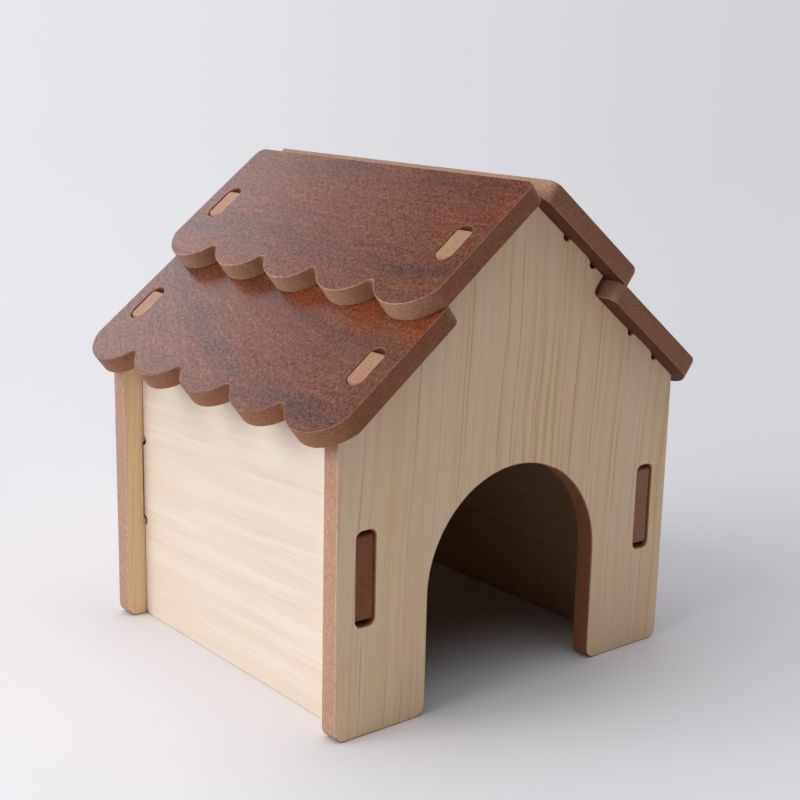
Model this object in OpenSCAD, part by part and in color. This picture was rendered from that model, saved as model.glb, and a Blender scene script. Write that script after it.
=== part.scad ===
// Hamster house of eight flat boards that slot together without glue or screws.
// Two gable panels stand at the front and back, and two side walls run between them.
// Four scalloped roof boards lie on the stepped slopes of the gables, two on each side.
// Units are millimetres. +Z is up, the doorway faces -Y, and the origin lies on the
// floor, in the middle of the house.

/* [Boards] */
// Thickness of every board
board_t = 6; // [5:0.1:7]

/* [House body] */
// Width of the front and back panels
panel_w = 128; // [120:1:150]
// Depth of the house, over the outer faces of the two panels
body_d = 118.5; // [105:0.5:160]
// Height of the gable's peak above the floor
ridge_z = 144; // [136:1:156]
// Slope of the roof, in degrees
roof_pitch = 38; // [34:0.5:42]
// Radius of the panels' foot corners
foot_r = 3.5; // [1:0.1:5]
// Distance from a panel's side edge to the outer face of the wall behind it
wall_inset = 6.7; // [4:0.1:9]
// Gap between a wall's upper outer edge and the roof board above it
wall_top_gap = 1.5; // [0.5:0.1:6]
// Radius of the walls' lower corners
wall_corner_r = 2.5; // [1:0.1:4]

/* [Doorway] */
// Width of the doorway
door_w = 65; // [50:1:72]
// Height of the doorway, to the top of its arch
door_h = 68; // [54:1:78]

/* [Wall tabs] */
// Height of a wall tab's lower edge above the floor
wall_tab_z = 33.2; // [20:0.1:45]
// Height of a wall tab, from its lower to its upper edge
wall_tab_h = 24.4; // [15:0.1:32]
// How far a wall tab's end lies behind the panel's outer face
wall_tab_recess = 0.6; // [0:0.1:2]
// Radius of a wall tab's end corners
wall_tab_r = 1.2; // [0.5:0.1:2]
// Radius of the corners of the slot that a wall tab fits
wall_slot_r = 2; // [1:0.1:2.4]
// Radius of the round relief in the inner corner beside a wall tab
wall_relief_r = 1.4; // [0.8:0.1:2]
// How far a relief bites into the tab beside it
relief_bite = 0.2; // [0.1:0.05:0.4]

/* [Roof boards] */
// How far a roof board reaches past each panel's outer face
roof_over = 6.5; // [4:0.1:12]
// How far a lower board's lobes reach past the panels' side edges, down the slope
eave_over = 6.2; // [2:0.1:12]
// How far an upper board's lobes lap over the lower board, down the slope
roof_lap = 9.3; // [8:0.1:14]
// Distance from the peak to the end of an upper board, down the slope
ridge_gap = 0.2; // [0.1:0.1:1]
// Radius of a roof board's upper corners
roof_corner_r = 3; // [1:0.1:5]
// Number of lobes along a roof board's lower edge
lobe_count = 5; // [3:1:7]
// Depth of the notches between the lobes
lobe_depth = 6.6; // [5:0.1:7.5]
// Radius at the bottom of a notch between two lobes
notch_r = 2; // [1:0.1:3]

/* [Roof tabs] */
// Distance from the peak to an upper roof tab, down the slope
roof_tab_from_ridge = 20.6; // [16:0.1:23]
// Length of a roof tab, down the slope
roof_tab_len = 12.1; // [9:0.1:13]
// How far a roof tab's end lies below the roof board's upper face
roof_tab_recess = 0.2; // [0:0.1:1]
// Radius of a roof tab's end corners
roof_tab_r = 1.2; // [0.5:0.1:2]
// Radius of the round relief in the inner corner beside a roof tab
roof_relief_r = 1.2; // [0.8:0.1:1.6]
// Gap between the step in a gable's slope and the lower roof board
step_gap = 1.9; // [1.7:0.1:3]
// Radius of the inner corner of that step
step_r = 1.6; // [0.8:0.1:1.7]

/* [Fits] */
// Gap on each side of a wall tab in its slot
wall_side_gap = 0.2; // [0.1:0.05:0.5]
// Gap on each side of a roof tab in its slot
roof_side_gap = 0.3; // [0.1:0.05:0.5]
// Least gap between a wall tab's corners and the ends of its slot
wall_end_gap = 0.1; // [0.05:0.05:0.5]
// Least gap between a roof tab's corners and the ends of its slot
roof_end_gap = 0.3; // [0.1:0.05:0.6]

/* [Hidden] */
$fn = 64;

// A little more than nothing, by which a cut runs past the face that it opens
past = 1;
// Upper roof boards lie on the upper stretch of a slope and lower ones a board below it
ROWS = [0, 1];
SIDES = [-1, 1];
LEFT = -1;
RIGHT = 1;
FRONT = -1;
BACK = 1;

half_w = panel_w / 2;
half_d = body_d / 2;
// Longer than any line in a gable
reach = panel_w + ridge_z;
slope_cos = cos(roof_pitch);
slope_sin = sin(roof_pitch);

// A point of the slope in the panel's plane: u down the slope, h square out of it
function slope_point(u, h) = [
  u * slope_cos + h * slope_sin,
  ridge_z - u * slope_sin + h * slope_cos
];
// Where a line at height h over the slope crosses the upright line at x
function slope_u(x, h) = (x - h * slope_sin) / slope_cos;
// How far a slot's corner of radius r reaches in over the square edge of a tab inside it
function corner_reach(r, side_gap) = r - sqrt(pow(r, 2) - pow(r - side_gap, 2));

// The seat of each row. The lower row lies one board lower than the upper one
function seat_h(row) = -row * board_t;

// The two rows share the slope from the peak to past the eave, and lap over each other
eave_u = slope_u(half_w, seat_h(1));
roof_run = eave_u + eave_over - ridge_gap;
roof_board_len = (roof_run + roof_lap) / 2;
row_pitch = (roof_run - roof_lap) / 2;

// The places of each row's boards and tabs down the slope
function board_u(row) = ridge_gap + row * row_pitch;
function tab_u(row) = roof_tab_from_ridge + row * row_pitch;
step_u = board_u(1) - step_gap;

// The slot for a wall tab
wall_slot_w = board_t + 2 * wall_side_gap;
wall_slot_end = corner_reach(wall_slot_r, wall_side_gap) + wall_end_gap;
wall_x = half_w - wall_inset - board_t / 2;
wall_half_d = half_d - board_t;
wall_h = slope_point(slope_u(half_w - wall_inset, seat_h(1)), seat_h(1))[1] - wall_top_gap;

// The slot for a roof tab: round at both ends, its upper end clear of square corners
roof_slot_w = board_t + 2 * roof_side_gap;
roof_slot_upper = corner_reach(roof_slot_w / 2, roof_side_gap) + roof_end_gap;
roof_slot_len = roof_slot_upper + roof_tab_len + roof_end_gap;
roof_slot_x = roof_tab_from_ridge - ridge_gap - roof_slot_upper;
roof_tab_h = board_t - roof_tab_recess;

// The scalloped edge: lobes and notches are arcs that run smoothly into each other
roof_board_w = body_d + 2 * roof_over;
lobe_w = roof_board_w / lobe_count;
lobe_r = (pow(lobe_w / 2, 2) + pow(lobe_depth, 2)) / (2 * lobe_depth) - notch_r;
lobe_x = roof_board_len - lobe_r;
notch_x = roof_board_len - lobe_depth + notch_r;

pine = "tan";
cream = "bisque";
red_brown = "sienna";

// ---- flat outlines ----

// A bar from the origin along +X, its far end's two corners rounded
module round_ended_bar(length, width, r) {
  square([length - r, width]);
  translate([0, r]) square([length, width - 2 * r]);
  for (y = [r, width - r])
    translate([length - r, y]) circle(r);
}

// What a rounded corner takes off the square corner at the origin, in the first quarter
module corner_waste(r) {
  difference() {
    translate([-past, -past]) square(r + past);
    translate([r, r]) circle(r);
  }
}

// A slot of the given size with rounded corners, centred on the origin
module slot_outline(length, width, r) {
  square([length, width - 2 * r], center = true);
  square([length - 2 * r, width], center = true);
  for (x = [-1, 1])
    for (y = [-1, 1])
      translate([x * (length / 2 - r), y * (width / 2 - r)]) circle(r);
}

// A slot with two half-round ends that starts at the origin and runs along +X
module round_slot(length, width) {
  r = width / 2;
  translate([r, -r]) square([length - width, width]);
  for (x = [r, length - r])
    translate([x, 0]) circle(r);
}

// Moves flat shapes onto one slope of the gable: X runs down it and Y square out of it
module on_gable(side) {
  mirror([side == LEFT ? 1 : 0, 0])
    translate([0, ridge_z]) rotate(-roof_pitch) children();
}

// The room over one slope: all above the upper seat, and all above the lower seat from the
// step outward, with a rounded inner corner
module over_slope() {
  translate([-reach, seat_h(0)]) square([2 * reach, reach]);
  translate([step_u, seat_h(1)]) {
    translate([step_r, 0]) square(reach);
    translate([0, step_r]) square(reach);
    translate([step_r, step_r]) circle(step_r);
  }
}

// A roof tab standing on its seat, which runs along X
module gable_tab() {
  translate([0, -past]) rotate(90) mirror([0, 1])
    round_ended_bar(roof_tab_h + past, roof_tab_len, roof_tab_r);
}

// The two reliefs beside a gable tab, cut into the seat
module gable_reliefs() {
  out = roof_relief_r - relief_bite;
  for (x = [-out, roof_tab_len + out])
    translate([x, 0]) circle(roof_relief_r);
}

// The gable with its stepped slopes and bare edges
module gable_outline() {
  difference() {
    translate([-half_w, 0]) square([panel_w, ridge_z + past]);
    for (side = SIDES)
      on_gable(side) over_slope();
  }
}

// An arched doorway, open at the floor
module doorway() {
  arch_z = door_h - door_w / 2;
  translate([-door_w / 2, -past]) square([door_w, arch_z + past]);
  translate([0, arch_z]) circle(door_w / 2);
}

// The rounded corner of a foot: dir is the side on which the wood lies
module foot_corner(x, dir) {
  translate([x, 0]) mirror([dir == LEFT ? 1 : 0, 0]) corner_waste(foot_r);
}

module panel_outline(has_door) {
  difference() {
    union() {
      gable_outline();
      for (side = SIDES)
        on_gable(side)
          for (row = ROWS)
            translate([tab_u(row), seat_h(row)]) gable_tab();
    }
    for (side = SIDES) {
      on_gable(side)
        for (row = ROWS)
          translate([tab_u(row), seat_h(row)]) gable_reliefs();
      translate([side * wall_x, wall_tab_z + wall_tab_h / 2])
        slot_outline(wall_slot_w, wall_tab_h + 2 * wall_slot_end, wall_slot_r);
      foot_corner(side * half_w, -side);
      if (has_door) foot_corner(side * door_w / 2, side);
    }
    if (has_door) doorway();
  }
}

// A side wall seen from the side: X is the depth of the house and Y is up
module wall_outline() {
  tab_reach = half_d - wall_tab_recess;
  relief_out = wall_relief_r - relief_bite;
  difference() {
    union() {
      translate([-wall_half_d, 0]) square([2 * wall_half_d, wall_h]);
      for (end = [FRONT, BACK])
        mirror([end == FRONT ? 1 : 0, 0])
          translate([0, wall_tab_z]) round_ended_bar(tab_reach, wall_tab_h, wall_tab_r);
    }
    for (end = [FRONT, BACK]) {
      for (z = [wall_tab_z - relief_out, wall_tab_z + wall_tab_h + relief_out])
        translate([end * wall_half_d, z]) circle(wall_relief_r);
      mirror([end == BACK ? 1 : 0, 0])
        translate([-wall_half_d, 0]) corner_waste(wall_corner_r);
    }
  }
}

// A roof board seen from above: X runs down the slope and Y along the ridge
module roof_board_outline() {
  lobe_ys = [for (i = [0 : lobe_count - 1]) (i + 0.5) * lobe_w - roof_board_w / 2];
  notch_ys = [for (i = [1 : lobe_count - 1]) i * lobe_w - roof_board_w / 2];
  difference() {
    intersection() {
      translate([0, -roof_board_w / 2]) square([roof_board_len + past, roof_board_w]);
      union() {
        translate([0, -roof_board_w / 2]) square([lobe_x, roof_board_w]);
        for (y = lobe_ys)
          translate([lobe_x, y]) circle(lobe_r);
        for (y = notch_ys)
          polygon([[lobe_x, y - lobe_w / 2], [notch_x, y], [lobe_x, y + lobe_w / 2]]);
      }
    }
    for (y = notch_ys)
      translate([notch_x, y]) circle(notch_r);
    for (end = [FRONT, BACK]) {
      mirror([0, end == BACK ? 1 : 0])
        translate([0, -roof_board_w / 2]) corner_waste(roof_corner_r);
      translate([roof_slot_x, end * (half_d - board_t / 2)])
        round_slot(roof_slot_len, roof_slot_w);
    }
  }
}

// ---- boards ----

// Moves solids onto one slope of the roof: X runs down it and Z square out of it
module on_slope(side) {
  mirror([side == LEFT ? 1 : 0, 0, 0])
    translate([0, 0, ridge_z]) rotate([0, roof_pitch, 0]) children();
}

// What a roof tab's lower end loses to be as round as the slot's end
module tab_end_waste() {
  r = roof_slot_w / 2;
  difference() {
    translate([0, -r, 0]) cube([r + past, 2 * r, board_t + past]);
    translate([0, 0, -past]) cylinder(r = r, h = board_t + 3 * past);
  }
}

// A gable panel whose outer face lies at the front or the back of the house
module panel(end, has_door) {
  y_mid = end * (half_d - board_t / 2);
  difference() {
    translate([0, y_mid + board_t / 2, 0]) rotate([90, 0, 0])
      linear_extrude(board_t) panel_outline(has_door);
    for (side = SIDES)
      for (row = ROWS)
        on_slope(side)
          translate([tab_u(row) + roof_tab_len - roof_slot_w / 2, y_mid, seat_h(row)])
            tab_end_waste();
  }
}

module wall(side) {
  translate([side * wall_x - board_t / 2, 0, 0]) rotate([90, 0, 90])
    linear_extrude(board_t) wall_outline();
}

module roof_board(side, row) {
  on_slope(side)
    translate([board_u(row), 0, seat_h(row)])
      linear_extrude(board_t) roof_board_outline();
}

// ---- sub-parts ----

module front_panel() { color(pine) panel(FRONT, true); }
module back_panel() { color(pine) panel(BACK, false); }
module left_wall() { color(cream) wall(LEFT); }
module right_wall() { color(cream) wall(RIGHT); }
module roof_left_lower() { color(red_brown) roof_board(LEFT, 1); }
module roof_left_upper() { color(red_brown) roof_board(LEFT, 0); }
module roof_right_lower() { color(red_brown) roof_board(RIGHT, 1); }
module roof_right_upper() { color(red_brown) roof_board(RIGHT, 0); }

front_panel();
back_panel();
left_wall();
right_wall();
roof_left_lower();
roof_left_upper();
roof_right_lower();
roof_right_upper();
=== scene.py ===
# %% [markdown]
# # A slot-together hamster house
# The real house is eight flat boards, 6 mm thick, that slot together: two gable panels, two side
# walls and four scalloped roof boards. Each board is fibreboard (MDF) with a printed wood film on
# both faces, so the whole look comes from three things: the film, the raw fibre of the cut edges,
# and the thin pale line where the film itself was cut. The frame brings every board at its real
# size and place. This lesson dresses them.

# %% Load the model
import math

import bmesh
import bpy
from mathutils import Matrix, Vector


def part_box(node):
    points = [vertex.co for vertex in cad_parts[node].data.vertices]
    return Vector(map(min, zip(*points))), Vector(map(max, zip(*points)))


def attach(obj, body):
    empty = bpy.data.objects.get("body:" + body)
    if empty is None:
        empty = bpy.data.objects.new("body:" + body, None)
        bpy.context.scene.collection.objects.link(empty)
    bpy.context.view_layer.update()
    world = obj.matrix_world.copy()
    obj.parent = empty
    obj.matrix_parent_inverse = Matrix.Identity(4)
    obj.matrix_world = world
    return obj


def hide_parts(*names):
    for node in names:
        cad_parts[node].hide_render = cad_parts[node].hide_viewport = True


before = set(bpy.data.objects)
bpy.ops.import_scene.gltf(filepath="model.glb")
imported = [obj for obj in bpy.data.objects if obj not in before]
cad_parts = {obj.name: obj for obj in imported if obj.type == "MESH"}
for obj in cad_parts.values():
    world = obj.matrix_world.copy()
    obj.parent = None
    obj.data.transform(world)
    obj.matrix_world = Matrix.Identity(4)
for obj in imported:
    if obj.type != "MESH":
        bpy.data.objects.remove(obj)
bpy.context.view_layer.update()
print("Boards in the model:", ", ".join(sorted(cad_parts)))

# %% [markdown]
# ## The camera
# The photograph was taken from the front left, a little above the roof's eaves. The camera's place
# and turn come from the straight edges of the boards, whose sizes are known. Blender's camera looks
# down its own -Z, so it is tipped up from there, turned about the upright, and rolled a little.

# %% Camera
camera_place = Vector((-0.28097, -0.34875, 0.18369))
camera_turn = math.radians(39.316)
camera_dip = math.radians(13.648)
camera_roll = math.radians(1.266)
camera_lens = 66.13

camera = bpy.data.objects.new("camera", bpy.data.cameras.new("camera"))
bpy.context.scene.collection.objects.link(camera)
bpy.context.scene.camera = camera
camera.data.lens = camera_lens
camera.data.clip_start = 0.01
camera.matrix_world = (
    Matrix.Translation(camera_place)
    @ Matrix.Rotation(-camera_turn, 4, "Z")
    @ Matrix.Rotation(math.radians(90) - camera_dip, 4, "X")
    @ Matrix.Rotation(camera_roll, 4, "Z")
)
print(f"Camera {camera_place.length * 1000:.0f} mm from the middle of the floor")

# %% [markdown]
# ## Nodes as sentences
# Materials and Geometry Nodes are both networks of nodes. Drawn by hand they are quick to make but
# hard to read back, so here a small class wraps one output of a node and lets Python's own signs
# work on it: `1 - mask` adds a Math node and gives its output. Every other kind of node comes from
# `add_node`, which takes its type, its settings and what goes into its sockets.

# %% The wire class


class Wire:
    """One output socket of a node. Sums on it add Math nodes to its tree."""

    def __init__(self, socket):
        self.socket = socket
        self.tree = socket.id_data

    def __getitem__(self, name):
        """Another output of the same node."""
        return Wire(self.socket.node.outputs[name])

    def maths(self, operation, *values):
        return add_node(self.tree, "ShaderNodeMath", {"operation": operation}, dict(enumerate(values)))

    def __add__(self, other):
        return self.maths("ADD", self, other)

    def __radd__(self, other):
        return self.maths("ADD", other, self)

    def __sub__(self, other):
        return self.maths("SUBTRACT", self, other)

    def __rsub__(self, other):
        return self.maths("SUBTRACT", other, self)

    def __mul__(self, other):
        return self.maths("MULTIPLY", self, other)

    def __rmul__(self, other):
        return self.maths("MULTIPLY", other, self)

    def __truediv__(self, other):
        return self.maths("DIVIDE", self, other)

    def __rtruediv__(self, other):
        return self.maths("DIVIDE", other, self)

    def __lt__(self, other):
        return self.maths("LESS_THAN", self, other)

    def __gt__(self, other):
        return self.maths("GREATER_THAN", self, other)

    def __abs__(self):
        return self.maths("ABSOLUTE", self)

    def sqrt(self):
        return self.maths("SQRT", self)

    def at_least(self, other):
        return self.maths("MAXIMUM", self, other)

    def at_most(self, other):
        return self.maths("MINIMUM", self, other)

    def wrapped(self, length):
        """What is left after whole lengths are taken away."""
        return self.maths("MODULO", self, length)

    def smooth(self, low, high):
        """0 below low, 1 above high, and an easy slope between them."""
        ease = {"interpolation_type": "SMOOTHSTEP"}
        return add_node(self.tree, "ShaderNodeMapRange", ease, {0: self, 1: low, 2: high})


def add_node(tree, kind, settings=None, inputs=None):
    """Adds a node of that type and gives its first output as a Wire."""
    node = tree.nodes.new(kind)
    for name, value in (settings or {}).items():
        setattr(node, name, value)
    for name, value in (inputs or {}).items():
        if isinstance(value, Wire):
            tree.links.new(value.socket, node.inputs[name])
        else:
            node.inputs[name].default_value = value
    return Wire(next(o for o in node.outputs if o.enabled)) if node.outputs else node


print("The wire class has", len(vars(Wire)), "entries")

# %% [markdown]
# ## Where the film lies on a board
# Wood film is printed in long sheets and pressed on before the boards are cut, so its grain runs
# straight along each board and knows nothing of the roof's slope. Each board therefore carries its
# own place values, in millimetres, as a mesh attribute called `film`: X along the grain, Y across
# it and Z through the thickness, from the middle of the board. Object coordinates would do for the
# upright boards, but the grain of the tilted ones would be cut askew. The films read this
# attribute, stretch it along the grain, and feed it to noise. Each such layer of marks is written
# as the size of its marks, and as the range of noise in which they show.

# %% Shader helpers
MM = 0.001


def film_place(tree):
    """The three film coordinates, in millimetres: along the grain, across it, and through."""
    here = add_node(tree, "ShaderNodeAttribute", {"attribute_name": "film"})["Vector"]
    split = add_node(tree, "ShaderNodeSeparateXYZ", None, {0: here})
    return split["X"], split["Y"], split["Z"]


def vector(x, y, z=0.0):
    tree = next(v for v in (x, y, z) if isinstance(v, Wire)).tree
    return add_node(tree, "ShaderNodeCombineXYZ", None, {0: x, 1: y, 2: z})


def between(low, high, value):
    """From low to high, as the value goes from 0 to 1."""
    return low + (high - low) * value


def layer(film, size, step=0, detail=1.0, rough=0.5, swirl=0.0):
    """Noise about 0.5 with marks of that size: millimetres along, across and, if given, through.

    The step goes to another part of the noise, so that no two layers look alike.
    """
    along, across, through = film
    through = through / size[2] if len(size) > 2 else through
    place = vector(along / size[0], across / size[1], through + step if step else through)
    kind = {"noise_dimensions": "3D"}
    values = {"Vector": place, "Scale": 1.0, "Detail": detail, "Roughness": rough,
              "Distortion": swirl}
    return add_node(place.tree, "ShaderNodeTexNoise", kind, values)


def mask(film, shows, strength=1.0, **marks):
    """A layer as a factor: 0 where the noise is below its range, and its strength where above."""
    factor = layer(film, **marks).smooth(*shows)
    return factor if strength == 1.0 else factor * strength


def tint(factor, colour_a, colour_b, blend="MIX"):
    """Blends from one colour to another, or with MULTIPLY stains the first with the second."""
    kind = {"data_type": "RGBA", "blend_type": blend}
    values = {0: factor, 6: opaque(colour_a), 7: opaque(colour_b)}
    return add_node(factor.tree, "ShaderNodeMix", kind, values)


def scaled(colour, factor):
    """A colour made darker or lighter."""
    kind = {"operation": "SCALE"}
    return add_node(colour.tree, "ShaderNodeVectorMath", kind, {0: colour, "Scale": factor})


def attribute(tree, name):
    """An attribute of the mesh as a single number."""
    return add_node(tree, "ShaderNodeAttribute", {"attribute_name": name})["Fac"]


def opaque(colour):
    return colour if isinstance(colour, Wire) else (*colour, 1.0)


def new_material(name, view_colour):
    """An empty material, with the colour that it has in the viewport."""
    material = bpy.data.materials.new(name)
    material.use_nodes = True
    material.node_tree.nodes.clear()
    material.diffuse_color = opaque(view_colour)
    return material


def finish_surface(material, colour, roughness, height, bump_mm, varying=None, **constants):
    """Closes a material: the shader with its colour, roughness and a bump that many mm deep."""
    tree = material.node_tree
    bump = add_node(tree, "ShaderNodeBump", None, {"Height": height, "Distance": bump_mm * MM})
    inputs = {"Base Color": colour, "Roughness": roughness, **(varying or {})}
    shader = add_node(tree, "ShaderNodeBsdfPrincipled", None, inputs)
    tree.links.new(bump.socket, shader.socket.node.inputs["Normal"])
    for name, value in constants.items():
        shader.socket.node.inputs[name.replace("_", " ")].default_value = value
    add_node(tree, "ShaderNodeOutputMaterial", None, {"Surface": shader})
    return material


print("Films are mapped in millimetres")

# %% [markdown]
# ## Ash film for the gables
# The two gable panels show an upright print of pale ash: broad bands a few millimetres wide, some
# whiter and some pinker than the ground, and hair-fine orange-brown lines that run almost the whole
# height in loose groups. Layers of the same noise do that. Each is stretched along the grain by
# another amount, and they share a slight lean and a slow wander, which keep the lines side by side,
# as in real wood. The lines are colour alone: deep bump would grey them with its own shade.

# %% Ash film
ash_ground = (0.91, 0.685, 0.440)
ash_band = (0.93, 0.735, 0.515)
ash_streak = (0.88, 0.565, 0.300)
ash_line = (0.68, 0.35, 0.150)

grain_lean = -0.045
grain_sway = 4
grain_wander = dict(size=(60, 60))
grain_bands = dict(size=(220, 6), shows=(0.42, 0.66), strength=0.8)
grain_streaks = dict(size=(150, 1.5), step=9, detail=2.0, rough=0.6,
                     shows=(0.50, 0.66), strength=0.55)
grain_hairs = dict(size=(170, 0.55), step=4, shows=(0.50, 0.70), strength=0.75)
grain_groups = dict(size=(140, 5), step=6, shows=(0.40, 0.56))
grain_fades = dict(size=(25, 1.2), step=8, shows=(0.25, 0.60))
grain_fibres = dict(size=(4, 0.30), detail=2.0)
grain_fibre_tint = (-0.07, 0.23)
grain_roughness = (0.52, 0.58)
grain_relief_mm = 0.003


def make_ash_film(name, ground, band, streak, line, **constants):
    material = new_material(name, ground)
    along, across, through = film_place(material.node_tree)
    sway = grain_sway * (layer((along, across, through), **grain_wander) - 0.5)
    film = along, across + grain_lean * along + sway, through
    colour = tint(mask(film, **grain_bands), ground, band)
    colour = tint(mask(film, **grain_streaks), colour, streak)
    hairs = mask(film, **grain_hairs) * mask(film, **grain_groups) * mask(film, **grain_fades)
    colour = tint(hairs, colour, line)
    fibres = layer(film, **grain_fibres)
    colour = tint(between(*grain_fibre_tint, fibres), colour, line)
    roughness = between(*grain_roughness, fibres)
    return finish_surface(material, colour, roughness, fibres, grain_relief_mm, **constants)


ash_film = make_ash_film("ash_film", ash_ground, ash_band, ash_streak, ash_line)
print("Made", ash_film.name)

# %% [markdown]
# The inner face of each gable is coloured a warmer honey. It is the same wood drawn in other
# colours, so it is the same function with other values.

# %% Honey film
honey_ground = (0.94, 0.69, 0.395)
honey_band = (0.88, 0.66, 0.395)
honey_streak = (0.91, 0.61, 0.345)
honey_line = (0.62, 0.34, 0.14)
honey_film = make_ash_film("honey_film", honey_ground, honey_band, honey_streak, honey_line)
print("Made", honey_film.name)

# %% [markdown]
# Inside, the walls get a plain brown print, painted shade for the dim inside of the house, which
# keeps the little light there warm and dim.

# %% Painted shade film for the inside
inside_shade_ground = (0.47, 0.305, 0.165)
inside_shade_band = (0.42, 0.280, 0.158)
inside_shade_streak = (0.48, 0.280, 0.135)
inside_shade_line = (0.30, 0.175, 0.085)
inside_shade_film = make_ash_film("inside_shade_film", inside_shade_ground, inside_shade_band, inside_shade_streak, inside_shade_line)
print("Made", inside_shade_film.name)

# %% [markdown]
# The roof boards' undersides are darker still, a plain umber. It is painted shade for the gloom
# under the roof, and it also keeps the tops of the gables beneath it dim.

# %% Umber film
umber_ground = (0.125, 0.040, 0.022)
umber_band = (0.105, 0.038, 0.024)
umber_streak = (0.135, 0.038, 0.018)
umber_line = (0.060, 0.018, 0.010)
underside_shade_film = make_ash_film("underside_shade_film", umber_ground, umber_band, umber_streak, umber_line,
                           Specular_IOR_Level=0.15)
print("Made", underside_shade_film.name)

# %% [markdown]
# ## Cream film for the side walls
# The walls' print is paler, and its grain lies level. Its marks are short and soft, a few
# centimetres long and a millimetre or two high, and they tip a little, so the place is sheared
# before it is stretched.

# %% Cream film
cream_ground = (0.82, 0.70, 0.585)
cream_mark = (0.66, 0.52, 0.39)
cream_light = (0.88, 0.78, 0.68)

cream_lean = 0.035
cream_sway = 3
cream_wander = dict(size=(40, 30))
cream_clouds = dict(size=(90, 5), detail=2.0, shows=(0.40, 0.68), strength=0.8)
cream_marks = dict(size=(42, 1.4), step=7, detail=2.0, rough=0.55)
cream_marks_show = (0.46, 0.78)
cream_marks_strength = 0.36
cream_fibres = dict(size=(14, 0.45), step=3, detail=2.0)
cream_fibre_tint = (-0.05, 0.17)
cream_fibre_height = 0.5
cream_roughness = (0.48, 0.58)
cream_relief_mm = 0.02


def make_cream_film():
    material = new_material("cream_film", cream_ground)
    along, across, through = film_place(material.node_tree)
    sway = cream_sway * (layer((along, across, through), **cream_wander) - 0.5)
    film = along, across + cream_lean * along + sway, through
    marks = layer(film, **cream_marks)
    fibres = layer(film, **cream_fibres)
    colour = tint(mask(film, **cream_clouds), cream_ground, cream_light)
    colour = tint(marks.smooth(*cream_marks_show) * cream_marks_strength, colour, cream_mark)
    colour = tint(between(*cream_fibre_tint, fibres), colour, cream_mark)
    height = marks + fibres * cream_fibre_height
    roughness = between(*cream_roughness, fibres)
    return finish_surface(material, colour, roughness, height, cream_relief_mm)


cream_film = make_cream_film()
print("Made", cream_film.name)

# %% [markdown]
# ## Walnut film for the roof
# The roof's film is a deep red-brown print with smoky bands. The upper and the lower boards are cut
# from different parts of its sheet: on the upper ones the bands run straight, and on the lower ones
# they start level at the front and climb towards the ridge. Along the lower boards, just below the
# upper boards' lobes, runs one redder stripe that follows the bands: it is painted light, the warm
# light that bounces between the boards there. The film is embossed like fine leather, in a net of
# wrinkles less than a millimetre apart. The tops of the wrinkles carry most of the clear coat. Their
# colour is painted paler on the tops and darker in the pits, as painted highlight and painted shade.
# Seen low, the coat mirrors the bright room behind the house, and the far end of the roof turns grey.
# That grey isn't in the colour. It is gloss, so it stays away where the upper boards keep that light
# off.

# %% Walnut film
walnut_ground = (0.153, 0.036, 0.0145)
walnut_light = (0.250, 0.068, 0.026)
walnut_smoke = (0.066, 0.025, 0.018)
walnut_painted_bounce = (0.290, 0.066, 0.022)

walnut_sway = 6
walnut_wander = dict(size=(40, 30), detail=2.0)
walnut_streaks = dict(size=(18, 1.3), step=2, detail=3.0, rough=0.65)
streaks_show = (0.42, 0.72)
streaks_strength = 0.8

# Each smoky band: where it lies across the sheet in mm, its width, and how dark it is.
smoke_lines = ((43.5, 4.2, 0.60), (11.0, 5.0, 0.30), (103.5, 4.0, 0.65), (78.0, 5.5, 0.35))
smoke_core = 0.2
smoke_climb = 0.0038
smoke_level = 20.0
smoke_straight = (46.0, 62.0)
smoke_clouds = dict(size=(30, 8), step=5, detail=3.0, rough=0.6)
band_clouds_show = (0.30, 0.62)
free_clouds_show = (0.52, 0.80)
free_clouds_depth = 0.45

# Painted light: a redder stripe for the warm light bounced between the boards below the upper lobes.
painted_bounce_line = 71.0
painted_bounce_width = 4.0
painted_bounce_core = 0.5
painted_bounce_shows = (0.20, 0.60)
painted_bounce_strength = 0.6

print("The roof's print has", len(smoke_lines), "smoky bands")

# %% The leathery skin of the walnut film
pebbles = dict(size=(0.54, 0.92), detail=2.0, rough=0.6, swirl=1.0)
pebble_tops = (0.42, 0.62)
# Painted highlight and painted shade: the colour is lighter on the wrinkles' tops, darker in the pits.
pebble_painted_shade_and_highlight = (0.72, 1.24)
pebble_coat = (0.1, 1.0)
pebble_roughness = (0.15, 0.50)
pebble_relief_mm = 0.05


def stripe(place, centre, width, core):
    """1 within a stripe's core, which is a part of its width, and 0 past twice its width."""
    return 1 - abs(place - centre).smooth(width * core, width * 2)


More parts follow.
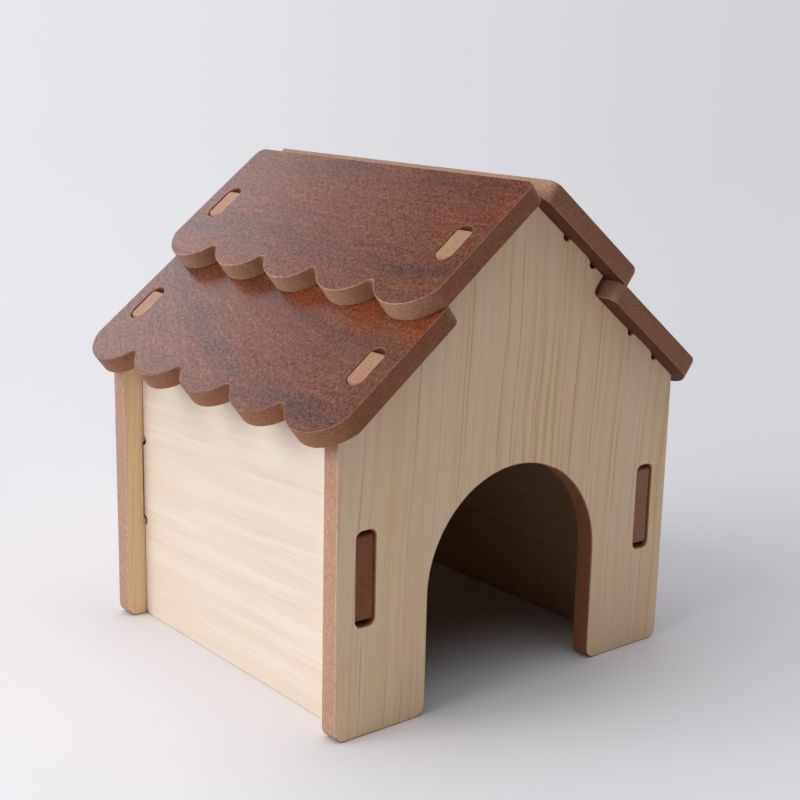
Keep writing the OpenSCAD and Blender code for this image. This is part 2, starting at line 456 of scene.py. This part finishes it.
def make_walnut_film():
    material = new_material("walnut_film", walnut_ground)
    along, across, through = film_place(material.node_tree)
    past_level = (along - smoke_level).at_least(0.0)
    climb = smoke_climb * past_level * past_level * across.smooth(*smoke_straight)
    sway = walnut_sway * (layer((along, across, through), **walnut_wander) - 0.5)
    flow = across + climb + sway
    smoke = 0.0
    for centre, width, depth in smoke_lines:
        smoke = smoke + depth * stripe(flow, centre, width, smoke_core)
    clouds = layer((along, flow, through), **smoke_clouds)
    smoke = smoke * clouds.smooth(*band_clouds_show)
    smoke = smoke + free_clouds_depth * clouds.smooth(*free_clouds_show)
    streaks = layer((along, flow, through), **walnut_streaks)
    colour = tint(streaks.smooth(*streaks_show) * streaks_strength, walnut_ground, walnut_light)
    colour = tint(smoke.at_most(1.0), colour, walnut_smoke)
    # Painted light, where warm light bounces under the upper boards' lobes.
    painted_bounce = stripe(flow, painted_bounce_line, painted_bounce_width, painted_bounce_core) * streaks.smooth(*painted_bounce_shows)
    colour = tint(painted_bounce * painted_bounce_strength, colour, walnut_painted_bounce)
    skin = layer((along, across, through), **pebbles)
    tops = skin.smooth(*pebble_tops)
    # The wrinkles' painted highlight and painted shade.
    colour = scaled(colour, between(*pebble_painted_shade_and_highlight, tops))
    coat = {"Coat Weight": between(*pebble_coat, tops)}
    roughness = between(*pebble_roughness, tops)
    return finish_surface(material, colour, roughness, skin, pebble_relief_mm, coat,
                          Specular_IOR_Level=0.25, Coat_Roughness=0.25, Coat_IOR=1.6)


walnut_film = make_walnut_film()
print("Made", walnut_film.name)

# %% [markdown]
# ## Raw fibre
# A cut edge shows the board's core: pressed wood dust and short fibres, matt and speckled. Towards
# each face the fibres are packed harder and the edge is a little darker. The core is also darkened
# with painted shade where it lies in shade: in slots, in the doorway and along straight ends. Each
# face of a board therefore carries an attribute from 0 to 1, for how much painted shade it gets, and
# the core's colour is multiplied by a brown by it.

# %% Raw fibre
# The brown that the painted shade multiplies into the cut edges.
painted_shade_colour = (0.51, 0.315, 0.195)
core_specks = dict(size=(0.7, 0.7, 0.5), detail=3.0, rough=0.65)
core_specks_show = (0.38, 0.68)
core_fibres = dict(size=(1.8, 1.8, 0.45), detail=2.0, rough=0.6, swirl=1.2)
core_fibres_show = (0.54, 0.74)
core_fibres_strength = 0.6
core_patches = dict(size=(14, 14, 6), shows=(0.35, 0.70), strength=0.25)
packed_from_mm = (1.6, 3.0)
packed_strength = 0.15
core_roughness = (0.82, 0.92)
core_fibre_height = 0.6
core_relief_mm = 0.07

# Ground, dark specks and light fibres.
body_fibre = (0.56, 0.335, 0.230), (0.42, 0.235, 0.155), (0.68, 0.47, 0.35)
roof_fibre = (0.58, 0.345, 0.225), (0.36, 0.200, 0.125), (0.72, 0.51, 0.36)


def with_painted_shade(colour):
    """The colour darkened with painted shade, by how much of it the face gets."""
    return tint(attribute(colour.tree, "painted_shade"), colour, painted_shade_colour, "MULTIPLY")


def make_core(name, ground, dark, light):
    material = new_material(name, ground)
    film = film_place(material.node_tree)
    specks = layer(film, **core_specks)
    fibres = layer(film, **core_fibres)
    packed = abs(film[2]).smooth(*packed_from_mm)
    colour = tint(specks.smooth(*core_specks_show), dark, ground)
    colour = tint(fibres.smooth(*core_fibres_show) * core_fibres_strength, colour, light)
    colour = tint(mask(film, **core_patches) + packed * packed_strength, colour, dark)
    height = specks + fibres * core_fibre_height
    roughness = between(*core_roughness, fibres)
    return finish_surface(material, with_painted_shade(colour), roughness, height, core_relief_mm)


body_core = make_core("body_core", *body_fibre)
roof_core = make_core("roof_core", *roof_fibre)
print("Made the cores", body_core.name, "and", roof_core.name)

# %% [markdown]
# ## The film's cut edge
# Along every arris the film's own thickness shows as a fine pale line, with tiny nicks where the
# cutter tore it. The arris is real geometry, a narrow bevel, and this is its material. It gets the
# same painted shade as the core.

# %% Film edge
edge_nicks = dict(size=(1.1, 1.1, 1.1), detail=3.0, rough=0.7)
edge_nicks_show = (0.44, 0.64)
edge_nicks_strength = 0.8
edge_roughness = (0.6, 0.7)
edge_relief_mm = 0.05

# Ground and nicks.
pale_cut = (0.70, 0.51, 0.38), (0.44, 0.27, 0.18)
roof_cut = (0.50, 0.31, 0.23), (0.26, 0.12, 0.08)


def make_film_edge(name, ground, nick):
    material = new_material(name, ground)
    nicks = layer(film_place(material.node_tree), **edge_nicks)
    colour = with_painted_shade(tint(nicks.smooth(*edge_nicks_show) * edge_nicks_strength, ground, nick))
    return finish_surface(material, colour, between(*edge_roughness, nicks), nicks, edge_relief_mm)


pale_edge = make_film_edge("pale_edge", *pale_cut)
roof_edge = make_film_edge("roof_edge", *roof_cut)
print("Made", pale_edge.name, "and", roof_edge.name)

# %% [markdown]
# ## From the model's boards to real ones
# The panels and walls have their true shape in the model already, but as loose triangles with
# razor-sharp edges. A copy is merged back into whole faces, and a Bevel modifier eases each arris
# by a quarter of a millimetre. Then each face gets its material by where it lies in the board's
# thickness: on a face of the board it is film, touching one it is the arris, and between them it
# is core.

# %% Board helpers
arris = 0.28 * MM
board_t = 6 * MM
smooth_up_to = math.radians(40)
flat_within = math.radians(0.5)
touch = 0.01 * MM
weld = 0.001 * MM


def add_arris(piece):
    """A modifier that eases the sharp edges."""
    bevel = piece.modifiers.new("arris", "BEVEL")
    bevel.width = arris
    bevel.segments = 2
    bevel.limit_method = "ANGLE"
    bevel.angle_limit = smooth_up_to
    bevel.use_clamp_overlap = False


def applied(piece):
    """The piece with its modifiers turned into plain mesh."""
    seen = piece.evaluated_get(bpy.context.evaluated_depsgraph_get())
    mesh = bpy.data.meshes.new_from_object(seen)
    piece.modifiers.clear()
    piece.data = mesh
    return piece


def set_film(mesh, film_of):
    """Stores each vertex's film coordinates, in millimetres. film_of takes a vertex's place."""
    values = [c / MM for v in mesh.vertices for c in film_of(v.co)]
    mesh.attributes.new("film", "FLOAT_VECTOR", "POINT").data.foreach_set("vector", values)


def set_faces(mesh, film_out, film_in, core, edge, painted_shade_of):
    """Gives each face its material by its place through the board, and how much painted shade it gets.
    """
    through = [v.vector.z * MM for v in mesh.attributes["film"].data]
    materials = [film_out, film_in, core, edge]
    chosen = []
    for face in mesh.polygons:
        depths = [through[i] for i in face.vertices]
        middle = sum(depths) / len(depths)
        if min(map(abs, depths)) > board_t / 2 - touch:
            chosen.append(0 if middle > 0 else 1)
        else:
            chosen.append(3 if abs(middle) > board_t / 2 - arris else 2)
    mesh.materials.clear()
    for material in materials:
        mesh.materials.append(material)
    mesh.polygons.foreach_set("material_index", chosen)
    painted_shade = mesh.attributes.new("painted_shade", "FLOAT", "FACE")
    painted_shade.data.foreach_set("value", [float(painted_shade_of(face)) for face in mesh.polygons])
    shade_boards(mesh)


def shade_boards(mesh):
    """Smooth round the curves, but sharp at corners and wherever two materials meet."""
    mesh.shade_smooth()
    mesh.set_sharp_from_angle(angle=smooth_up_to)
    meets = {}
    for face in mesh.polygons:
        for key in face.edge_keys:
            meets.setdefault(key, set()).add(face.material_index)
    for edge in mesh.edges:
        if len(meets[edge.key]) > 1:
            edge.use_edge_sharp = True


def whole_copy(node):
    """A copy of a model board, with its triangles merged back into whole faces."""
    shape = bmesh.new()
    shape.from_mesh(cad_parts[node].data)
    bmesh.ops.remove_doubles(shape, verts=shape.verts, dist=weld)
    bmesh.ops.dissolve_limit(shape, angle_limit=flat_within, verts=shape.verts, edges=shape.edges)
    mesh = bpy.data.meshes.new(node + "_board")
    shape.to_mesh(mesh)
    shape.free()
    mesh.attributes.remove(mesh.attributes["custom_normal"])
    piece = bpy.data.objects.new(node + "_board", mesh)
    bpy.context.scene.collection.objects.link(piece)
    return piece


print(f"Each arris is {arris / MM:.2f} mm wide")

# %% [markdown]
# ## The two gable panels
# Film coordinates run up the panel and across it. A panel's outer face is turned away from the
# middle of the house, so the through value grows outwards for both. The back panel is cut from
# further along the printed sheet, so that the two don't look alike.

# %% Panels
roof_pitch = math.radians(38)
silhouette = 0.5 * MM
tab_tops_from = 112.4 * MM
# Painted shade on the front panel's roof tabs.
tab_painted_shade = 0.4
back_panel_cut = 310 * MM


def dress_panel(node, side):
    piece = whole_copy(node)
    low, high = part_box(node)
    middle = (low.y + high.y) / 2
    add_arris(piece)
    applied(piece)

    def panel_painted_shade(face):
        """Painted shade: all of it on the slots and the doorway, whose faces look inwards, and a little
        on the front panel's roof tabs.
        """
        x, z = abs(face.center.x), face.center.z
        if x < high.x - silhouette and z < high.x:
            return 1.0
        on_tab = x * math.sin(roof_pitch) + z * math.cos(roof_pitch) > tab_tops_from
        return tab_painted_shade * (on_tab and side < 0)

    cut_from = back_panel_cut if side > 0 else 0.0
    set_film(piece.data, lambda p: (p.z + cut_from, p.x, (p.y - middle) * side))
    set_faces(piece.data, ash_film, honey_film, body_core, pale_edge, panel_painted_shade)
    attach(piece, "house_body")
    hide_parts(node)
    print(piece.name, len(piece.data.polygons), "faces")


dress_panel("front_panel", -1)
dress_panel("back_panel", 1)

# %% [markdown]
# ## The two side walls
# The walls' grain is level, so film X runs along the house. The ends of their tabs, which show in
# the gables' slots, get painted shade, on the right wall less than on the left one. The right wall
# too is cut from further along its sheet.

# %% Walls
panel_inner_face = -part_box("front_panel")[1].y
# How much painted shade the tab ends of each wall get.
left_wall_painted_shade = 1.0
right_wall_painted_shade = 0.6
right_wall_cut = 230 * MM


def dress_wall(node, side):
    piece = whole_copy(node)
    low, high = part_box(node)
    middle = (low.x + high.x) / 2
    add_arris(piece)
    applied(piece)

    def wall_painted_shade(face):
        """Painted shade on the ends of the tabs, and on the shoulders that stand against the gables."""
        return ends_painted_shade * (abs(face.center.y) > panel_inner_face - 2 * arris)

    ends_painted_shade = right_wall_painted_shade if side > 0 else left_wall_painted_shade
    cut_from = right_wall_cut if side > 0 else 0.0
    set_film(piece.data, lambda p: (p.y + cut_from, p.z, (p.x - middle) * side))
    set_faces(piece.data, cream_film, inside_shade_film, body_core, pale_edge, wall_painted_shade)
    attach(piece, "house_body")
    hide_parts(node)
    print(piece.name, len(piece.data.polygons), "faces")


dress_wall("left_wall", -1)
dress_wall("right_wall", 1)

# %% [markdown]
# ## A roof board by rule
# The four roof boards are one shape. Its outline is a rule: five lobes, each the arc of one circle,
# joined by the arcs of four smaller ones, and a ridge edge with two rounded corners. Modelling it
# by hand would fix its sizes. Geometry Nodes keep them open: a line of points is bent to the rule by
# its index, closed, filled with the two slots left out, and thickened.

# %% Sizes of a roof board
plank_length = 50.59 * MM
plank_width = 131.5 * MM
lobe_count = 5
lobe_depth = 6.6 * MM
notch_r = 2 * MM
corner_r = 3 * MM
slot_length = 13.6 * MM
slot_width = 6.6 * MM
slot_start = 19.2 * MM
slot_spread = 112.5 * MM
steps_per_lobe = 48
corner_steps = 8
slot_end_steps = 14

print(f"A roof board is {plank_width / MM:.1f} mm wide, with {lobe_count} lobes")

# %% The roof board's node tree
plank_sockets = {
    "NodeSocketFloat": ("Length", "Width", "Thickness", "Lobe depth", "Notch radius", "Corner radius",
                        "Slot length", "Slot width", "Slot start", "Slot spread"),
    "NodeSocketInt": ("Lobes", "Steps per lobe"),
    "NodeSocketMaterial": ("Face material", "Core material"),
}


def add_plank_sockets(tree):
    """Gives the tree its named inputs and its output."""
    for kind, names in plank_sockets.items():
        for name in names:
            tree.interface.new_socket(name=name, in_out="INPUT", socket_type=kind)
    tree.interface.new_socket(name="Plank", in_out="OUTPUT", socket_type="NodeSocketGeometry")


def joined(tree, first, second):
    """Two geometries as one."""
    both = add_node(tree, "GeometryNodeJoinGeometry", None, {"Geometry": first})
    tree.links.new(second.socket, both.socket.node.inputs[0])
    return both


print("The tree's inputs are", ", ".join(name for names in plank_sockets.values() for name in names))

# %% The scalloped outline


def scalloped_outline(tree, given):
    """A closed curve: X from the ridge to the lobes, Y along the ridge."""
    length, width, depth = given["Length"], given["Width"], given["Lobe depth"]
    notch, lobes, steps = given["Notch radius"], given["Lobes"], given["Steps per lobe"]
    half_lobe = width / lobes / 2
    lobe = (half_lobe * half_lobe + depth * depth) / (2 * depth) - notch
    lobe_x = length - lobe
    notch_x = length - depth + notch
    joins_at = half_lobe * lobe / (lobe + notch)

    index = add_node(tree, "GeometryNodeInputIndex")
    last = lobes * steps
    y = index / last * width - width / 2
    off_middle = abs((y + width / 2).wrapped(2 * half_lobe) - half_lobe)
    on_lobe = lobe_x + (lobe * lobe - off_middle * off_middle).sqrt()
    to_notch = half_lobe - off_middle
    in_notch = notch_x - (notch * notch - to_notch * to_notch).at_least(0.0).sqrt()
    is_notch = (off_middle > joins_at) * (abs(y) < width / 2 - half_lobe)
    scallop_x = on_lobe + is_notch * (in_notch - on_lobe)
    is_corner = index > last
    corner_y = width / 2 * (1 - 2 * (index > last + 1))
    place = vector(scallop_x * (1 - is_corner), y + is_corner * (corner_y - y), 0.0)

    line = add_node(tree, "GeometryNodeMeshLine", None, {"Count": last + 3})
    line = add_node(tree, "GeometryNodeSetPosition", None, {"Geometry": line, "Position": place})
    outline = add_node(tree, "GeometryNodeMeshToCurve", None, {"Mesh": line})
    outline = add_node(tree, "GeometryNodeSetSplineCyclic", None, {"Geometry": outline, "Cyclic": True})
    radius = is_corner * given["Corner radius"]
    return add_node(tree, "GeometryNodeFilletCurve", {"mode": "POLY"},
                    {"Curve": outline, "Count": corner_steps, "Radius": radius})


print("The last two points of the outline are the corners at the ridge")

# %% The slots and the thickness
just_under_half = 0.4999


def slot_outlines(tree, given):
    """The two round-ended slots, as curves."""
    slot = add_node(tree, "GeometryNodeCurvePrimitiveQuadrilateral", None,
                    {"Width": given["Slot length"], "Height": given["Slot width"]})
    radius = given["Slot width"] * just_under_half
    slot = add_node(tree, "GeometryNodeFilletCurve", {"mode": "POLY"},
                    {"Curve": slot, "Count": slot_end_steps, "Radius": radius})
    slot_x = given["Slot start"] + given["Slot length"] / 2
    ends = add_node(tree, "GeometryNodeMeshLine", {"mode": "END_POINTS"},
                    {"Count": 2, "Start Location": vector(slot_x, given["Slot spread"] * -0.5, 0.0),
                     "Offset": vector(slot_x, given["Slot spread"] * 0.5, 0.0)})
    slots = add_node(tree, "GeometryNodeInstanceOnPoints", None, {"Points": ends, "Instance": slot})
    return add_node(tree, "GeometryNodeRealizeInstances", None, {"Geometry": slots})


def thickened(tree, given, curves):
    """The filled curves as a closed board, with a material for its faces and one for its edges."""
    plate = add_node(tree, "GeometryNodeFillCurve", {"mode": "NGONS"}, {"Curve": curves})
    raised = add_node(tree, "GeometryNodeExtrudeMesh", {"mode": "FACES"},
                      {"Mesh": plate, "Offset Scale": given["Thickness"], "Individual": False})
    under = add_node(tree, "GeometryNodeFlipFaces", None, {"Mesh": plate})
    board = joined(tree, raised, under)
    board = add_node(tree, "GeometryNodeMergeByDistance", None, {"Geometry": board, "Distance": weld})
    board = add_node(tree, "GeometryNodeRealizeInstances", None, {"Geometry": board})
    facing = add_node(tree, "GeometryNodeInputNormal")
    is_side = abs(add_node(tree, "ShaderNodeSeparateXYZ", None, {0: facing})["Z"]) < 0.5
    board = add_node(tree, "GeometryNodeSetMaterial", None,
                     {"Geometry": board, "Material": given["Face material"]})
    return add_node(tree, "GeometryNodeSetMaterial", None,
                    {"Geometry": board, "Selection": is_side, "Material": given["Core material"]})


def make_plank_tree():
    """A flat scalloped board with two slots."""
    tree = bpy.data.node_groups.new("scalloped_plank", "GeometryNodeTree")
    add_plank_sockets(tree)
    given = add_node(tree, "NodeGroupInput")
    curves = joined(tree, scalloped_outline(tree, given), slot_outlines(tree, given))
    add_node(tree, "NodeGroupOutput", None, {0: thickened(tree, given, curves)})
    return tree


plank_tree = make_plank_tree()
print("The plank's tree has", len(plank_tree.nodes), "nodes")

# %% [markdown]
# ## Laying the boards on the roof
# The modifier's inputs are filled in by the identifiers of their sockets, before the board is
# looked at for the first time. The flat board is then turned into plain mesh, gets its film
# coordinates while it is still flat, and is laid on its slope by moving its vertices, so that the
# object itself stays at the origin.

# %% Roof boards
ridge_z = 144 * MM
ridge_gap = 0.2 * MM
row_pitch = 41.29 * MM
plank_inputs = {
    "Length": plank_length, "Width": plank_width, "Thickness": board_t,
    "Lobe depth": lobe_depth, "Notch radius": notch_r, "Corner radius": corner_r,
    "Slot length": slot_length, "Slot width": slot_width, "Slot start": slot_start,
    "Slot spread": slot_spread, "Lobes": lobe_count, "Steps per lobe": steps_per_lobe,
    "Face material": walnut_film, "Core material": roof_core,
}


def make_plank(name):
    """A flat roof board, as plain mesh."""
    piece = bpy.data.objects.new(name, bpy.data.meshes.new(name))
    bpy.context.scene.collection.objects.link(piece)
    nodes = piece.modifiers.new("plank", "NODES")
    nodes.node_group = plank_tree
    for socket in plank_tree.interface.items_tree:
        if socket.in_out == "INPUT":
            nodes[socket.identifier] = plank_inputs[socket.name]
    add_arris(piece)
    return applied(piece)


def slope_matrix(side, row):
    """From the flat board to its place: down one slope, and a board lower in the lower row."""
    down = Vector((side * math.cos(roof_pitch), 0, -math.sin(roof_pitch)))
    out = Vector((side * math.sin(roof_pitch), 0, math.cos(roof_pitch)))
    across = out.cross(down)
    place = Vector((0, 0, ridge_z)) + down * (ridge_gap + row * row_pitch) - out * row * board_t
    turn = Matrix((down, across, out)).transposed().to_4x4()
    return Matrix.Translation(place) @ turn


print(f"The slopes are {math.degrees(roof_pitch):.0f} degrees steep")

# %% [markdown]
# The slots and the straight ends of a roof board get painted shade. Round a lobe it fades, as the
# edge turns from sideways to down the slope, and the ridge edge has next to none. The lobes of the
# lower boards get more of it than those of the upper ones.

# %% Dressing the roof boards
# How much painted shade the lobes, the straight ends and the ridge edge get.
upper_lobes_painted_shade = 0.0
lower_lobes_painted_shade = 0.75
left_ends_painted_shade = 0.90
right_ends_painted_shade = 0.72
ridge_painted_shade = 0.15
ridge_fade = 6
lobe_fade = 1.2
slot_margin = 1 * MM
least_turn = 0.001


def roof_painted_shade(face, lobes_painted_shade, ends_painted_shade):
    """How much painted shade a face gets, by where it lies on the flat board and how far sideways it
    looks.
    """
    in_slot = slot_start - slot_margin < face.center.x < slot_start + slot_length + slot_margin
    sideways = abs(face.normal.y) / max(math.hypot(face.normal.x, face.normal.y), least_turn)
    if in_slot and abs(face.center.y) < plank_width / 2 - silhouette:
        return 1.0
    if face.center.x < corner_r:
        return between(ridge_painted_shade, ends_painted_shade, sideways ** ridge_fade)
    return between(lobes_painted_shade, ends_painted_shade, sideways ** lobe_fade)


def dress_roof_board(node, side, row, start, lift_with_painted_light):
    piece = make_plank(node + "_board")
    mesh = piece.data
    lobes_painted_shade = lower_lobes_painted_shade if row else upper_lobes_painted_shade
    ends_painted_shade = left_ends_painted_shade if side < 0 else right_ends_painted_shade
    set_film(mesh, lambda p: (side * p.y + plank_width / 2 + start, p.x + lift_with_painted_light, p.z - board_t / 2))
    set_faces(mesh, walnut_film, underside_shade_film, roof_core, roof_edge,
              lambda face: roof_painted_shade(face, lobes_painted_shade, ends_painted_shade))
    mesh.transform(slope_matrix(side, row))
    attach(piece, node)
    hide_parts(node)
    print(piece.name, len(mesh.polygons), "faces")


# Each board: its side, its row, and where it was cut from the printed sheet, along and across.
dress_roof_board("roof_left_lower", -1, 1, -6.5 * MM, 60 * MM)
dress_roof_board("roof_left_upper", -1, 0, -6.5 * MM, 7.5 * MM)
dress_roof_board("roof_right_lower", 1, 1, 180 * MM, 65 * MM)
dress_roof_board("roof_right_upper", 1, 0, 180 * MM, -9.0 * MM)

# %% [markdown]
# ## The table and the light
# The house stands on a pale seamless table in front of a large window to its left and a little
# behind it. The front is in soft shade and its light comes back from the room and the table. A sun
# lamp with a very wide disc gives the window's soft-edged shadow without growing dim across the
# table. The table thins out with distance and the world behind it has the same colour, so there is
# no edge and no horizon. The table's colour carries painted light: it is painted lighter to the left,
# in the window's beam, and a little lighter towards the front, which more of the room shines on.
# What the glossy films mirror is set apart from the light that falls on them: it is brightest a
# little above the horizon, and nothing comes from high up.

# %% Table and backdrop
pale_left = (0.80, 0.79, 0.82)
pale_right = (0.65, 0.65, 0.68)
to_the_right = (0.774, -0.634)
to_the_front = (-0.634, -0.774)
beam_width = 0.30
table_half = 6.0
table_fade = (0.5, 2.5)
table_lift = 1.05
front_painted_light = 0.35
near_blend = 0.35


def along_way(east, north, way):
    """How far a place lies in the direction way."""
    return east * way[0] + north * way[1]


def background(tree, east, north):
    """The pale colour in a direction: lighter to the left of the window's beam, painted light on the
    table.
    """
    rightward = along_way(east, north, to_the_right)
    return tint(rightward.smooth(-beam_width, beam_width), pale_left, pale_right)


def make_table():
    material = new_material("table", pale_left)
    tree = material.node_tree
    place = add_node(tree, "ShaderNodeTexCoord")["Object"]
    split = add_node(tree, "ShaderNodeSeparateXYZ", None, {0: place})
    east, north = split["X"], split["Y"]
    away = (east * east + north * north).sqrt() + near_blend
    nearer = along_way(east / away, north / away, to_the_front).at_least(0.0)
    # Painted light: the table's colour is made lighter towards the front and to the left.
    lift_with_painted_light = table_lift + front_painted_light * nearer
    colour = scaled(background(tree, east / away, north / away), lift_with_painted_light)
    paper = add_node(tree, "ShaderNodeBsdfDiffuse", None, {"Color": colour})
    gone = add_node(tree, "ShaderNodeBsdfTransparent")
    thinned = away.smooth(*table_fade)
    shader = add_node(tree, "ShaderNodeMixShader", None, {0: thinned, 1: paper, 2: gone})
    add_node(tree, "ShaderNodeOutputMaterial", None, {"Surface": shader})
    mesh = bpy.data.meshes.new("table")
    corners = [(-1, -1), (1, -1), (1, 1), (-1, 1)]
    mesh.from_pydata([(x * table_half, y * table_half, 0) for x, y in corners], [], [(0, 1, 2, 3)])
    mesh.materials.append(material)
    table = bpy.data.objects.new("table", mesh)
    bpy.context.scene.collection.objects.link(table)


make_table()
print("The table is", 2 * table_half, "m wide")

# %% World
room_front = (0.0, 0.0, 0.0)
room_back = (0.53, 0.53, 0.55)
room_top = (1.70, 1.70, 1.74)
room_rise = (0.70, 0.98)
room_depth = (-0.65, 0.45)
sheen_low = 1.7
sheen_high = 3.1
sheen_rise = (0.40, 0.54)
sheen_edge = (0.52, 0.60)


def make_world():
    world = bpy.data.worlds.new("studio")
    world.use_nodes = True
    tree = world.node_tree
    tree.nodes.clear()
    direction = add_node(tree, "ShaderNodeTexCoord")["Generated"]
    split = add_node(tree, "ShaderNodeSeparateXYZ", None, {0: direction})
    pale = background(tree, split["X"], split["Y"])
    light = tint(split["Y"].smooth(*room_depth), room_front, room_back)
    light = tint(split["Z"].smooth(*room_rise), light, room_top)
    rays = add_node(tree, "ShaderNodeLightPath")
    mirrored = rays["Is Glossy Ray"].at_least(rays["Is Transmission Ray"])
    colour = tint(mirrored.at_least(rays["Is Camera Ray"]), light, pale)
    gloss = between(sheen_low, sheen_high, split["Z"].smooth(*sheen_rise))
    gloss = gloss * (1 - split["Z"].smooth(*sheen_edge))
    strength = between(1, gloss, mirrored)
    shader = add_node(tree, "ShaderNodeBackground", None, {"Color": colour, "Strength": strength})
    add_node(tree, "ShaderNodeOutputWorld", None, {"Surface": shader})
    bpy.context.scene.world = world


make_world()
print("World made")

# %% Lamps
window_towards = (-0.82, 0.20, 0.50)
window_light = 0.53
window_disc = math.radians(50)
window_colour = (1.0, 0.99, 0.97)

lamp = bpy.data.lights.new("window", "SUN")
lamp.energy = window_light * math.pi
lamp.angle = window_disc
lamp.color = window_colour
window = bpy.data.objects.new("window", lamp)
window.rotation_euler = Vector(window_towards).to_track_quat("Z", "Y").to_euler()
bpy.context.scene.collection.objects.link(window)
bpy.context.scene.view_settings.view_transform = "Standard"

# %% [markdown]
